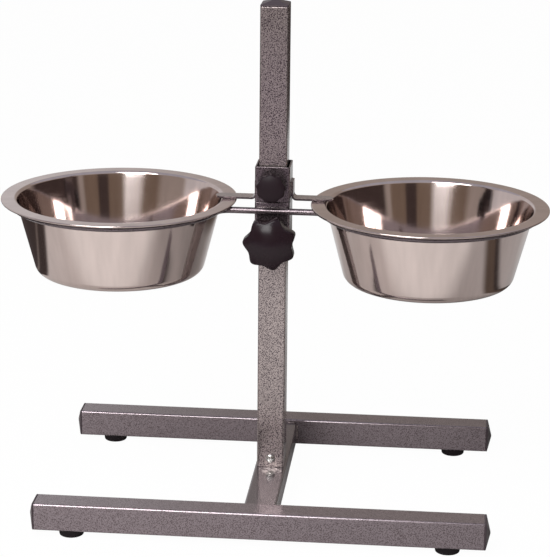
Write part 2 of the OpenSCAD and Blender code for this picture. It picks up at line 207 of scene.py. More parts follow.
class FeederStage(bpy.types.PropertyGroup):
    eye: bpy.props.FloatVectorProperty(name="Camera place", description="Where the camera stands",
                                       default=(0.18805, -2.00549, 0.81604), subtype="TRANSLATION",
                                       unit="LENGTH")
    yaw: angle("Camera yaw", "Turn of the camera to the left", 5.309)
    pitch: angle("Camera pitch", "Tilt of the camera upwards", -16.61)
    roll: angle("Camera roll", "Roll of the camera", 0.539)
    lens: number("Lens", "Focal length in millimetres", 145.98, unit="CAMERA")
    key: number("Key light", "Power of the left front light", 24, unit="POWER")
    top: number("Top light", "Power of the top light", 34, unit="POWER")
    sky: number("Sky", "Strength of the soft light all round", 0.25)
    room_reach: length("Room reach", "Distance of the walls from the stand", 3400)
    room_height: length("Room height", "Height of the ceiling", 2600)


# Nodes

def add_node(tree, kind, inputs=None, stops=(), **settings):
    """Adds a node with its settings and, on a colour ramp, its stops.

    An input given as a socket is linked, one given as a node takes its first output, and any other is set.
    """
    made = tree.nodes.new(kind)
    for name, value in settings.items():
        setattr(made, name, value)
    if stops:
        elements = made.color_ramp.elements
        elements.remove(elements[1])
        elements[0].position, elements[0].color = stops[0]
        for position, tone in stops[1:]:
            elements.new(position).color = tone
    for name, value in (inputs or {}).items():
        if isinstance(value, bpy.types.Node):
            value = value.outputs[0]
        if isinstance(value, bpy.types.NodeSocket):
            tree.links.new(value, made.inputs[name])
        else:
            made.inputs[name].default_value = value
    return made


def new_material(name):
    """An empty material and its tree."""
    material = bpy.data.materials.new(name)
    material.use_nodes = True
    material.node_tree.nodes.clear()
    return material, material.node_tree


def per_mm(millimetres):
    """Texture scale at which one cell of a pattern is this many millimetres."""
    return 1 / (millimetres * MM)


def grey(level):
    return (level, level, level, 1.0)


# Finishes

def hammertone_paint(name, cell, pit, bare=None):
    """Hammertone enamel sprayed on steel: silvery cells with dark pits between, under a thin clear coat.

    Where a bare colour is given, the paint is scuffed through to it.
    """
    cell_size, pit_full, pit_edge = 0.88, 0.33, 0.56
    material, tree = new_material(name)
    place = add_node(tree, "ShaderNodeTexCoord").outputs["Object"]
    # Noise is weak on the planes of its own lattice, so it is turned askew to the tubes' faces
    askew = add_node(tree, "ShaderNodeMapping", {"Vector": place, "Rotation": (0.6, 0.5, 0.4)})
    cells = add_node(tree, "ShaderNodeTexNoise", {"Vector": askew, "Scale": per_mm(cell_size), "Detail": 0.0})
    pits = add_node(tree, "ShaderNodeMapRange", {
        "Value": cells, "From Min": pit_full, "From Max": pit_edge, "To Min": 1.0, "To Max": 0.0,
    }, interpolation_type="SMOOTHSTEP")
    bump = add_node(tree, "ShaderNodeBump", {"Height": cells, "Strength": 0.26, "Distance": 0.12 * MM})
    tone = add_node(tree, "ShaderNodeMix", {0: pits, 6: cell, 7: pit}, data_type="RGBA").outputs[2]
    if bare is not None:
        tone = scuffed(tree, place, tone, bare)
    paint = add_node(tree, "ShaderNodeBsdfPrincipled", {
        "Base Color": tone, "Metallic": 0.65, "Roughness": 0.17, "Normal": bump, "Coat Weight": 0.25,
        "Coat Roughness": 0.06})
    add_node(tree, "ShaderNodeOutputMaterial", {"Surface": paint})
    return material


def scuffed(tree, place, painted, bare):
    """Mixes bare steel into the paint in ragged scuffs on the cross bar, in front of the post's foot."""
    centre = Vector((1 * MM, low_of("post").y - 10 * MM, high_of("cross_bar").z))
    radii = (14 * MM, 15 * MM, 6 * MM)
    ragged, worn_full, worn_edge = 2.4, 1.55, 1.85
    near = add_node(tree, "ShaderNodeMapping", {
        "Vector": place, "Location": [-c / r for c, r in zip(centre, radii)],
        "Scale": [1 / r for r in radii]})
    away = add_node(tree, "ShaderNodeVectorMath", {0: near}, operation="LENGTH").outputs["Value"]
    rough = add_node(tree, "ShaderNodeTexNoise", {"Vector": near, "Scale": 3.4, "Detail": 2.0})
    edge = add_node(tree, "ShaderNodeMath", {0: rough, 1: ragged, 2: away}, operation="MULTIPLY_ADD")
    worn = add_node(tree, "ShaderNodeMapRange", {
        "Value": edge, "From Min": worn_full, "From Max": worn_edge, "To Min": 1.0, "To Max": 0.0})
    return add_node(tree, "ShaderNodeMix", {0: worn, 6: painted, 7: bare}, data_type="RGBA").outputs[2]


def spun_steel(name, tint, roughness, streak):
    """Stainless steel, drawn and spun: fine rings round the bowl stretch reflections, over faint draw marks.

    The real rings are some 0.1 mm apart, too fine to show, and are drawn 0.8 mm apart.
    """
    ring_width, ring_pieces = 0.8, 3.0
    mark_length, mark_count = 60, 55.0
    wall_from, wall_to = 55 * MM, 80 * MM
    least, most = NOISE_SPAN
    material, tree = new_material(name)
    place = add_node(tree, "ShaderNodeUVMap", uv_map=BOWL_UV).outputs["UV"]
    stretched = add_node(tree, "ShaderNodeMapping", {
        "Vector": place, "Scale": (ring_pieces, per_mm(ring_width), 1.0)})
    rings = add_node(tree, "ShaderNodeTexNoise", {"Vector": stretched, "Scale": 1.0, "Detail": 3.0})
    gloss = add_node(tree, "ShaderNodeMapRange", {
        "Value": rings, "From Min": least, "From Max": most,
        "To Min": roughness - streak, "To Max": roughness + streak})
    bump = add_node(tree, "ShaderNodeBump", {"Height": rings, "Strength": 0.04, "Distance": 0.05 * MM})
    upright = add_node(tree, "ShaderNodeMapping", {
        "Vector": place, "Scale": (mark_count, per_mm(mark_length), 1.0)})
    drawn = add_node(tree, "ShaderNodeTexNoise", {"Vector": upright, "Scale": 1.0, "Detail": 2.0})
    marks = add_node(tree, "ShaderNodeMapRange", {
        "Value": drawn, "From Min": least, "From Max": most, "To Min": 0.93, "To Max": 1.06})
    along = add_node(tree, "ShaderNodeSeparateXYZ", {"Vector": place}).outputs["Y"]
    on_wall = add_node(tree, "ShaderNodeMapRange", {
        "Value": along, "From Min": wall_from, "From Max": wall_to})
    sheen = add_node(tree, "ShaderNodeMix", {0: on_wall, 6: tint, 7: marks}, data_type="RGBA",
                     blend_type="MULTIPLY").outputs[2]
    steel = add_node(tree, "ShaderNodeBsdfPrincipled", {
        "Base Color": sheen, "Metallic": 1.0, "Roughness": gloss, "Normal": bump})
    add_node(tree, "ShaderNodeOutputMaterial", {"Surface": steel})
    return material


def moulded(name, tint, roughness, shine, grain, depth):
    """Plastic or rubber from a mould: a fine sparked grain breaks up the gloss, with cloudy dull patches."""
    cloud_size, cloud_gloss, dullest = 14, 0.06, 0.88
    least, most = NOISE_SPAN
    material, tree = new_material(name)
    place = add_node(tree, "ShaderNodeTexCoord").outputs["Object"]
    fine = add_node(tree, "ShaderNodeTexNoise", {"Vector": place, "Scale": per_mm(grain), "Detail": 3.0})
    cloud = add_node(tree, "ShaderNodeTexNoise", {
        "Vector": place, "Scale": per_mm(cloud_size), "Detail": 2.0})
    gloss = add_node(tree, "ShaderNodeMapRange", {
        "Value": cloud, "From Min": least, "From Max": most,
        "To Min": roughness - cloud_gloss, "To Max": roughness + cloud_gloss})
    bump = add_node(tree, "ShaderNodeBump", {"Height": fine, "Strength": depth, "Distance": 0.1 * MM})
    dull = [c * dullest for c in tint[:3]] + [1.0]
    shade = add_node(tree, "ShaderNodeMix", {0: cloud, 6: dull, 7: tint}, data_type="RGBA").outputs[2]
    body = add_node(tree, "ShaderNodeBsdfPrincipled", {
        "Base Color": shade, "Roughness": gloss, "Specular IOR Level": shine, "Normal": bump})
    add_node(tree, "ShaderNodeOutputMaterial", {"Surface": body})
    return material


def zinc_plate(name, tint):
    """Bright zinc plating: cool silver metal with a slightly clouded gloss."""
    cloud_size, glossy, dull = 1.5, 0.2, 0.3
    least, most = NOISE_SPAN
    material, tree = new_material(name)
    place = add_node(tree, "ShaderNodeTexCoord").outputs["Object"]
    cloud = add_node(tree, "ShaderNodeTexNoise", {
        "Vector": place, "Scale": per_mm(cloud_size), "Detail": 3.0})
    gloss = add_node(tree, "ShaderNodeMapRange", {
        "Value": cloud, "From Min": least, "From Max": most, "To Min": glossy, "To Max": dull})
    plating = add_node(tree, "ShaderNodeBsdfPrincipled", {
        "Base Color": tint, "Metallic": 1.0, "Roughness": gloss})
    add_node(tree, "ShaderNodeOutputMaterial", {"Surface": plating})
    return material


def finish(context, name):
    """The material of a finish, made the first time that it is asked for."""
    if name in bpy.data.materials:
        return bpy.data.materials[name]
    tones = context.scene.feeder_colours
    paints = {
        "hammertone_enamel": (tones.paint, tones.paint_pit),
        "fine_hammertone_enamel": (tones.paint, tones.paint_dimple),
        # Darker paint of the sleeves and nuts, and painted shade on the wire and the arms' edges
        "dark_enamel_and_painted_shade": (tones.sleeve, tones.sleeve_pit),
        # The foot bars' and the cross bar's darker copies of the paint are painted shade
        "foot_bar_enamel_painted_shade": (tones.bar, tones.paint_dimple),
        "cross_bar_enamel_painted_shade_scuffed": (tones.cross_bar, tones.paint_dimple, tones.bare),
    }
    # Roughness, and how much the spun rings change it
    steels = {"polished_stainless": (0.09, 0.02), "satin_stainless": (0.3, 0.06)}
    # Colour, roughness, specular level, and the grain's size in millimetres and strength
    mouldings = {
        "phenolic_knob": (tones.knob, 0.22, 0.18, 0.9, 0.1),
        "satin_phenolic_knob": (tones.knob, 0.45, 0.14, 0.9, 0.1),
        "polyethylene_cap": (tones.cap, 0.4, 0.3, 0.7, 0.15),
        "black_rubber": (tones.rubber, 0.6, 0.12, 0.8, 0.3),
    }
    if name in paints:
        return hammertone_paint(name, *paints[name])
    if name in steels:
        return spun_steel(name, tones.steel, *steels[name])
    if name in mouldings:
        return moulded(name, *mouldings[name])
    if name == "bright_zinc":
        return zinc_plate(name, tones.zinc)
    raise ValueError("no finish is named " + name)


# Shapes

def skin(rings, looped=False):
    """Points and faces of a skin over rings of points; a ring of one point is a pole."""
    points, faces, spans = [], [], []
    for ring in rings:
        spans.append((len(points), len(ring)))
        points.extend(Vector(p) for p in ring)
    pairs = list(zip(spans, spans[1:]))
    if looped:
        pairs.append((spans[-1], spans[0]))
    for (first, count), (second, other) in pairs:
        most = max(count, other)
        for i in range(most):
            j = (i + 1) % most
            corners = [first + i % count, first + j % count, second + j % other, second + i % other]
            faces.append(list(dict.fromkeys(corners)))
    return points, faces


def circle(radius, height, steps):
    if radius < 1e-7:
        return [(0, 0, height)]
    turns = [2 * math.pi * i / steps for i in range(steps)]
    return [(radius * math.cos(a), radius * math.sin(a), height) for a in turns]


def turned(profile, steps, looped=False):
    """Skin of a lathe-turned shape, from radius and height along its section."""
    return skin([circle(r, h, steps) for r, h in profile], looped)


def rounded_rectangle(width, depth, radius, height, steps=7):
    ring = []
    for quarter in range(4):
        x = (width / 2 - radius) * (1 if quarter in (0, 3) else -1)
        y = (depth / 2 - radius) * (1 if quarter in (0, 1) else -1)
        for i in range(steps):
            a = QUARTER * (quarter + i / (steps - 1))
            ring.append((x + radius * math.cos(a), y + radius * math.sin(a), height))
    return ring


def rounded_square(side, radius, height):
    return rounded_rectangle(side, side, radius, height)


def arc(x, y, radius, start, end, steps):
    """Points of an arc, with its angles in radians."""
    turns = [start + (end - start) * i / steps for i in range(steps + 1)]
    return [(x + radius * math.cos(a), y + radius * math.sin(a)) for a in turns]


def between(start, end, count):
    """Points that split a line into so many parts, without its ends."""
    return [tuple(a + (b - a) * i / count for a, b in zip(start, end)) for i in range(1, count)]


def facing(direction, origin):
    """Matrix that turns a shape's own Z to a direction and moves it to a place."""
    return Matrix.Translation(origin) @ direction.to_track_quat("Z", "Y").to_matrix().to_4x4()


def across(span, direction):
    """The two sizes of a box that lie across a direction."""
    return [s for s, d in zip(span, direction) if not d]


def add_object(name, data):
    made = bpy.data.objects.new(name, data)
    bpy.context.scene.collection.objects.link(made)
    return made


def new_object(name, points, faces, place=Matrix(), sharp=40):
    """An object with a closed mesh, its faces outwards and smooth up to an angle."""
    mesh = bpy.data.meshes.new(name)
    mesh.from_pydata([place @ Vector(p) for p in points], [], faces)
    shape = bmesh.new()
    shape.from_mesh(mesh)
    bmesh.ops.recalc_face_normals(shape, faces=shape.faces)
    shape.to_mesh(mesh)
    shape.free()
    mesh.polygons.foreach_set("use_smooth", [True] * len(mesh.polygons))
    mesh.set_sharp_from_angle(angle=math.radians(sharp))
    return add_object(name, mesh)


def bake(piece):
    """Turns a piece and its modifiers into a plain mesh."""
    seen = piece.evaluated_get(bpy.context.evaluated_depsgraph_get())
    plain = bpy.data.meshes.new_from_object(seen)
    piece.modifiers.clear()
    piece.data = plain
    plain.name = piece.name
    return piece


def soften(piece, width):
    """Rounds a piece's sharp edges, unless the width is zero, and keeps its flats flat."""
    if width > 0:
        bevel = piece.modifiers.new("edges", "BEVEL")
        bevel.width = width
        bevel.segments = 3
        bevel.limit_method = "ANGLE"
        bevel.angle_limit = math.radians(35)
        bevel.harden_normals = False
    flats = piece.modifiers.new("flats", "WEIGHTED_NORMAL")
    flats.weight = 90
    flats.keep_sharp = False
    return bake(piece)


def dress(context, piece, finishes, body, slot, *nodes):
    """Gives a piece its finishes, and fits it to the frame in place of its solids."""
    piece.data.materials.clear()
    for name in finishes:
        piece.data.materials.append(finish(context, name))
    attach(piece, body)
    if nodes:
        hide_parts(*nodes)
    return piece


# Geometry Nodes

def new_tree(name, inputs):
    """A Geometry Nodes tree with named inputs and one geometry output."""
    tree = bpy.data.node_groups.new(name, "GeometryNodeTree")
    for label, kind in inputs:
        tree.interface.new_socket(label, in_out="INPUT", socket_type="NodeSocket" + kind)
    tree.interface.new_socket("Geometry", in_out="OUTPUT", socket_type="NodeSocketGeometry")
    given = add_node(tree, "NodeGroupInput").outputs
    return tree, given


def end_tree(tree, given, geometry):
    """Ends a tree in plain geometry with its finish."""
    real = add_node(tree, "GeometryNodeRealizeInstances", {"Geometry": geometry})
    painted = add_node(tree, "GeometryNodeSetMaterial", {"Geometry": real, "Material": given["Finish"]})
    add_node(tree, "NodeGroupOutput", {"Geometry": painted})
    return tree


def wire_tree():
    """Sweeps a round wire along a path and closes its ends."""
    tree, given = new_tree("Bent wire", [
        ("Path", "Geometry"), ("Diameter", "Float"), ("Sides", "Int"), ("Finish", "Material")])
    path = add_node(tree, "GeometryNodeMeshToCurve", {"Mesh": given["Path"]})
    radius = add_node(tree, "ShaderNodeMath", {0: given["Diameter"], 1: 0.5}, operation="MULTIPLY")
    section = add_node(tree, "GeometryNodeCurvePrimitiveCircle", {
        "Resolution": given["Sides"], "Radius": radius})
    swept = add_node(tree, "GeometryNodeCurveToMesh", {
        "Curve": path, "Profile Curve": section, "Fill Caps": True})
    smooth = add_node(tree, "GeometryNodeSetShadeSmooth", {"Geometry": swept})
    return end_tree(tree, given, smooth)


def weld_tree():
    """Lays the ripples of a weld bead along paths."""
    smallest, largest = 0.82, 1.08
    tree, given = new_tree("Weld bead", [
        ("Path", "Geometry"), ("Width", "Float"), ("Ripple", "Float"), ("Seed", "Int"),
        ("Finish", "Material")])
    path = add_node(tree, "GeometryNodeMeshToCurve", {"Mesh": given["Path"]})
    spots = add_node(tree, "GeometryNodeCurveToPoints", {
        "Curve": path, "Length": given["Ripple"]}, mode="LENGTH")
    radius = add_node(tree, "ShaderNodeMath", {0: given["Width"], 1: 0.5}, operation="MULTIPLY")
    ripple = add_node(tree, "GeometryNodeMeshIcoSphere", {"Radius": radius, "Subdivisions": 2})
    smooth = add_node(tree, "GeometryNodeSetShadeSmooth", {"Geometry": ripple})
    vary = add_node(tree, "FunctionNodeRandomValue", {2: smallest, 3: largest, "Seed": given["Seed"]},
                    data_type="FLOAT").outputs[1]
    laid = add_node(tree, "GeometryNodeInstanceOnPoints", {
        "Points": spots, "Instance": smooth, "Scale": vary})
    return end_tree(tree, given, laid)


def grow(name, paths, tree, **values):
    """A plain mesh that a tree makes along paths of points."""
    points, edges = [], []
    for path in paths:
        first = len(points)
        points.extend(path)
        edges.extend((i, i + 1) for i in range(first, len(points) - 1))
    mesh = bpy.data.meshes.new(name)
    mesh.from_pydata(points, edges, [])
    piece = add_object(name, mesh)
    modifier = piece.modifiers.new("grow", "NODES")
    modifier.node_group = tree
    for item in tree.interface.items_tree:
        if item.in_out == "INPUT" and item.name in values:
            modifier[item.identifier] = values[item.name]
    return bake(piece)


# Pieces

class FEEDER_OT_tubes(bpy.types.Operator):
    """Makes the foot bars, the cross bar, the post and the two sleeves"""
    bl_idname = "feeder.tubes"
    bl_label = "Square tubes"

    def execute(self, context):
        for node, direction, body, paint in [
                # The foot bars and the cross bar get darkened copies of the paint as painted shade
                ("front_foot_bar", RIGHT, "base", "foot_bar_enamel_painted_shade"),
                ("rear_foot_bar", RIGHT, "base", "foot_bar_enamel_painted_shade"),
                ("cross_bar", BACK, "base", "cross_bar_enamel_painted_shade_scuffed"),
                ("post", UP, "base", "hammertone_enamel"),
                ("height_sleeve", UP, "carriage", "dark_enamel_and_painted_shade"),
                ("clamp_sleeve", UP, "hold_down", "dark_enamel_and_painted_shade")]:
            piece = self.tube(context, node, direction)
            dress(context, piece, [paint], body, "hammertone_paint", node)
        return {"FINISHED"}

    def tube(self, context, node, direction):
        """A tube with rounded corners that fills its solid's box along a direction."""
        sizes = context.scene.feeder_tubes
        span = size_of(node)
        run = abs(span.dot(direction))
        width, depth = across(span, direction)
        bore = 2 * sizes.wall
        least_corner = 0.3 * MM
        inner_corner = max(sizes.corner - sizes.wall, least_corner)
        outer = [rounded_rectangle(width, depth, sizes.corner, h) for h in (0, run)]
        inner = [rounded_rectangle(width - bore, depth - bore, inner_corner, h) for h in (run, 0)]
        place = facing(direction, middle_of(node) - direction * run / 2)
        return soften(new_object("painted_" + node, *skin(outer + inner, True), place), sizes.sheared_edge)


class FEEDER_OT_caps(bpy.types.Operator):
    """Makes the pyramid caps in the ends of the foot bars and of the post"""
    bl_idname = "feeder.caps"
    bl_label = "End caps"

    def execute(self, context):
        sizes = context.scene.feeder_tubes
        flange, plug_depth = sizes.cap_flange, sizes.cap_plug
        lip, play, plug_corner = 0.35 * MM, 0.2 * MM, 0.5 * MM
        steeper = 1.04
        for node, direction in [("front_left_cap", -RIGHT), ("front_right_cap", RIGHT),
                                ("rear_left_cap", -RIGHT), ("rear_right_cap", RIGHT), ("post_cap", UP)]:
            span = size_of(node)
            depth = abs(span.dot(direction))
            width = max(across(span, direction))
            plug = width - 2 * sizes.wall - play
            peak = depth - plug_depth
            rings = [[(0, 0, -plug_depth)]]
            rings += [rounded_square(plug, plug_corner, h) for h in (-plug_depth, 0)]
            rings += [rounded_square(width, sizes.corner, h) for h in (0, flange - lip)]
            rings.append(rounded_square(width - lip, sizes.corner, flange - lip * 0.3))
            for share in (0.955, 0.9, 0.7, 0.5, 0.3, 0.14, 0.06):
                height = flange + (peak - flange) * min(1.0, steeper * (1 - share))
                rings.append(rounded_square(width * share, sizes.corner * share, height))
            rings.append([(0, 0, peak)])
            tip = middle_of(node) + direction * depth / 2
            place = facing(direction, tip - direction * peak)
            piece = soften(new_object("moulded_" + node, *skin(rings), place, 60), 0)
            dress(context, piece, ["polyethylene_cap"], "base", "cap_plastic", node)
        return {"FINISHED"}


class FEEDER_OT_feet(bpy.types.Operator):
    """Makes the five rubber feet"""
    bl_idname = "feeder.feet"
    bl_label = "Rubber feet"

    def execute(self, context):
        sizes = context.scene.feeder_tubes
        top, bottom, rounding = sizes.foot_top / 2, sizes.foot_bottom / 2, sizes.foot_round
        recess, bore, lip = sizes.foot_recess / 2, sizes.foot_bore / 2, 0.4 * MM
        for place_name in ("front_left", "front_right", "rear_left", "rear_right", "middle"):
            node = place_name + "_foot"
            tall = size_of(node).z
            seat = tall - sizes.foot_floor
            profile = [(bore, tall), (bore, seat), (recess, seat), (recess, lip), (recess + lip, 0)]
            profile += arc(bottom - rounding * 0.6, rounding, rounding, -QUARTER, -QUARTER / 4, 6)
            # The bulged upper edge
            profile += [(top - 0.35 * MM, tall - 0.9 * MM), (top, tall - 0.45 * MM), (top - 0.1 * MM, tall)]
            middle = middle_of(node)
            place = Matrix.Translation((middle.x, middle.y, low_of(node).z))
            piece = new_object("rubber_" + node, *turned(profile, 48, True), place, 50)
            dress(context, piece, ["black_rubber"], "base", "foot_rubber", node)
        return {"FINISHED"}


class FEEDER_OT_fasteners(bpy.types.Operator):
    """Makes the post's screw and the threaded studs, and finishes the small solids that stay"""
    bl_idname = "feeder.fasteners"
    bl_label = "Screws, studs and nuts"

    def execute(self, context):
        knobs = context.scene.feeder_knobs
        self.post_screw(context)
        self.stud(context, "height_stud", knobs.height_pitch, "height_screw")
        self.stud(context, "clamp_stud", knobs.clamp_pitch, "clamp_screw")
        for node, paint in [("foot_screws", "bright_zinc"), ("post_stub", "hammertone_enamel"),
                            ("height_nut", "dark_enamel_and_painted_shade"),
                            ("clamp_nut", "dark_enamel_and_painted_shade")]:
            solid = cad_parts[node]
            solid.data.materials.clear()
            solid.data.materials.append(finish(context, paint))
        return {"FINISHED"}

    def post_screw(self, context):
        """A pan-head screw with a cross recess."""
        sizes = context.scene.feeder_tubes
        span = size_of("post_screw")
        radius, shank, tall = span.x / 2, sizes.screw_shank / 2, sizes.screw_head
        end = tall - span.y
        profile = [(0, end), (shank, end), (shank, 0), (radius, 0)]
        for i in range(10):
            a = QUARTER * i / 10
            profile.append((radius * math.cos(a) ** 0.6, tall * (0.25 + 0.75 * math.sin(a))))
        profile.append((0, tall))
        seat = low_of("post_screw").y + tall
        place = facing(FRONT, Vector((0, seat, middle_of("post_screw").z)))
        piece = new_object("post_screw_pan_head", *turned(profile, 40), place, 45)
        arm_length, arm_corner = 0.62 * span.x, 0.2 * MM
        for turn in (0, QUARTER):
            arm = [rounded_rectangle(arm_length, sizes.screw_slot, arm_corner, tall * share, 3)
                   for share in (0.45, 1.3)]
            rings = [[(0, 0, tall * 0.4)]] + arm + [[(0, 0, tall * 1.4)]]
            cutter = new_object("recess", *skin(rings), place @ Matrix.Rotation(turn, 4, "Z"))
            cut = piece.modifiers.new("recess", "BOOLEAN")
            cut.object = cutter
            cut.solver = "EXACT"
            bake(piece)
            bpy.data.objects.remove(cutter)
        dress(context, piece, ["bright_zinc"], "base", "zinc_plate", "post_screw")

    def stud(self, context, node, pitch, body):
        """A stud with a helical thread that fades out at both ends."""
        steps, per_turn, flank = 28, 6, 2.5
        span = size_of(node)
        radius, depth = span.x / 2, 0.61 * pitch
        rings = [[(0, 0, 0)], circle(radius - depth, 0, steps)]
        count = int(span.y / pitch) * per_turn - 1
        for i in range(1, count):
            height = i * pitch / per_turn
            fade = min(1.0, i / per_turn, (count - i) / per_turn)
            ring = []
            for k in range(steps):
                share = (height / pitch - k / steps) % 1
                crest = min(1.0, max(0.0, flank / 2 - flank * abs(share - 0.5)))
                r = radius - depth * (1 - crest * fade)
                a = 2 * math.pi * k / steps
                ring.append((r * math.cos(a), r * math.sin(a), height))
            rings.append(ring)
        rings += [circle(radius - depth, span.y, steps), [(0, 0, span.y)]]
        place = facing(FRONT, Vector((0, high_of(node).y, middle_of(node).z)))
        piece = new_object("threaded_" + node, *skin(rings), place, 75)
        dress(context, piece, ["bright_zinc"], body, "zinc_plate", node)


class FEEDER_OT_ring_frame(bpy.types.Operator):
    """Bends the ring frame from one wire"""
    bl_idname = "feeder.ring_frame"
    bl_label = "Ring frame"

    def execute(self, context):
        sizes = context.scene.feeder_rings
        # The wire's darker paint is painted shade: it stands in for the rim's shadow and the darker floor
        # that the wire mirrors
        node, paint = "bowl_ring_frame", "dark_enamel_and_painted_shade"
        centre = middle_of("right_bowl")
        half = sizes.wire / 2
        ring = high_of(node).x - centre.x - half
        front = low_of("height_sleeve").y - half - sizes.gap
        height = middle_of(node).z
        bend_y = front - sizes.bend
        start = math.asin((centre.y - bend_y) / (ring + sizes.bend))
        bend_x = centre.x - (ring + sizes.bend) * math.cos(start)
        # Each ring closes against the front wire, a little way into it
        end = math.asin((centre.y - front - 0.4 * half) / ring)
        run = [(0, front), (bend_x / 2, front)]
        run += arc(bend_x, bend_y, sizes.bend, QUARTER, start, 12)
        run += arc(centre.x, centre.y, ring, math.pi + start, 3 * math.pi + end, 180)[1:]
        right = [(x, y, height) for x, y in run]
        left = [(-x, y, z) for x, y, z in reversed(right[1:])]
        piece = grow("bent_wire_rings", [left + right], wire_tree(), Diameter=sizes.wire, Sides=20,
                     Finish=finish(context, paint))
        dress(context, piece, [paint], "carriage", "hammertone_paint", node)
        return {"FINISHED"}


class FEEDER_OT_clamp_arms(bpy.types.Operator):
    """Makes the two bent strips that hold the bowls down"""
    bl_idname = "feeder.clamp_arms"
    bl_label = "Clamp arms"

    def execute(self, context):
        sizes = context.scene.feeder_rings
        thick, half, inner = sizes.arm_sheet, sizes.arm_width / 2, sizes.arm_bend
        outer = inner + thick
        on_edge = 0.6
        for side, sign in SIDES.items():
            node = side + "_clamp_arm"
            low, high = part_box(node)
            reach, leg = high.x - low.x, high.z - low.z
            # Outer point, inner point and half width at each station along the strip
            stations = [((0, leg), (thick, leg), half)]
            bends = [arc(outer, outer, r, math.pi, math.pi + QUARTER, 8) for r in (outer, inner)]
            stations += [(far, near, half) for far, near in zip(*bends)]
            for degrees in (0, 10, 20, 30, 40, 50, 60, 68, 76, 82, 87):
                a = math.radians(degrees)
                x = reach - half + half * math.sin(a)
                stations.append(((x, 0), (x, thick), half * math.cos(a)))
            points, faces = skin([
                [(ox, -h, oz), (ox, h, oz), (ix, h, iz), (ix, -h, iz)] for (ox, oz), (ix, iz), h in stations])
            faces.append([3, 2, 1, 0])
            faces.append([len(points) - 4 + i for i in range(4)])
            root = low.x if sign > 0 else -high.x
            points = [(sign * (root + p.x), p.y + (low.y + high.y) / 2, p.z + low.z) for p in points]
            piece = soften(new_object("bent_" + node, points, faces), sizes.arm_edge)
            dress(context, piece, ["fine_hammertone_enamel", "dark_enamel_and_painted_shade"], "hold_down",
                  "hammertone_paint", node)
            # Faces turned to the front or the back, the strip's edges, get the darker paint as painted shade;
            # the tops keep the lighter paint
            for face in piece.data.polygons:
                face.material_index = 1 if abs(face.normal.y) > on_edge else 0
        return {"FINISHED"}


class FEEDER_OT_knobs(bpy.types.Operator):
    """Makes the two star knobs"""
    bl_idname = "feeder.knobs"
    bl_label = "Star knobs"

    def execute(self, context):
        self.star(context, "height", "phenolic_knob")
        self.star(context, "clamp", "satin_phenolic_knob")
        return {"FINISHED"}

    def outline(self, tip, count, depth, turn):
        """Radius and angle round a star with blunt lobes and rounded hollows."""
        blunt, steps = 0.45, 26
        full = math.sqrt(1 + blunt * blunt) - blunt
        points = []
        for i in range(count * steps):
            a = 2 * math.pi * i / (count * steps)
            away = math.sin(count * a / 2)
            share = (math.sqrt(away * away + blunt * blunt) - blunt) / full
            points.append((tip * (1 - depth * share), a + turn))
        return points

    def star(self, context, name, plastic):
        sizes = context.scene.feeder_knobs
        diameter, count, depth, turn, hub, wall, swell = [getattr(sizes, name + "_" + key) for key in (
            "diameter", "lobes", "hollow", "turn", "hub", "wall", "swell")]
        node, stud = name + "_knob", name + "_stud"
        tip = diameter / 2
        crown = size_of(node).y - hub - wall
        stud_r = size_of(stud).x / 2
        edge = sizes.edge * diameter / sizes.height_diameter
        outline = self.outline(tip, count, depth, turn)
        dome = lambda r: hub + wall + crown * max(0.0, 1 - (r / tip) ** 2) ** swell
        star = lambda share, height: [
            (share * r * math.sin(a), share * r * math.cos(a), height(share * r)) for r, a in outline]
        ring = lambda r, height: [(r * math.sin(a), r * math.cos(a), height) for _, a in outline]
        rings = [[(0, 0, dome(0))]]
        rings += [star(share, dome) for share in (0.1, 0.2, 0.3, 0.4, 0.5, 0.6, 0.7, 0.78, 0.85, 0.9, 0.935)]
        # The rounded edges of the front and the back, as shares of the radius and of the rounding
        for share, drop in ((0.962, 0.06), (0.982, 0.25), (0.995, 0.62), (1.0, 1.2)):
            rings.append(star(share, lambda r: dome(r) - edge * drop))
        for share, rise in ((1.0, 1.0), (0.993, 0.3), (0.975, 0.0)):
            rings.append(star(share, lambda r: hub + edge * rise))
        # The hollow back, the hub in it and the stud's hole
        draft, chamfer, play = 0.2 * MM, 0.4 * MM, 0.05 * MM
        inside = tip * (1 - depth) - diameter * 0.06
        floor, seat = hub + wall * 0.7, hub + wall * 0.8
        boss, bore = stud_r * 2.2, stud_r + play
        for r, height in ((inside, hub), (inside - draft, hub + edge), (inside - draft, floor), (boss, floor),
                          (boss, chamfer), (boss - chamfer, 0), (bore, 0), (bore, seat)):
            rings.append(ring(r, height))
        rings.append([(0, 0, seat)])
        place = facing(FRONT, Vector((0, high_of(node).y, middle_of(stud).z)))
        piece = new_object("moulded_" + node, *skin(rings), place, 50)
        dress(context, piece, [plastic], name + "_handle", "knob_plastic", node)


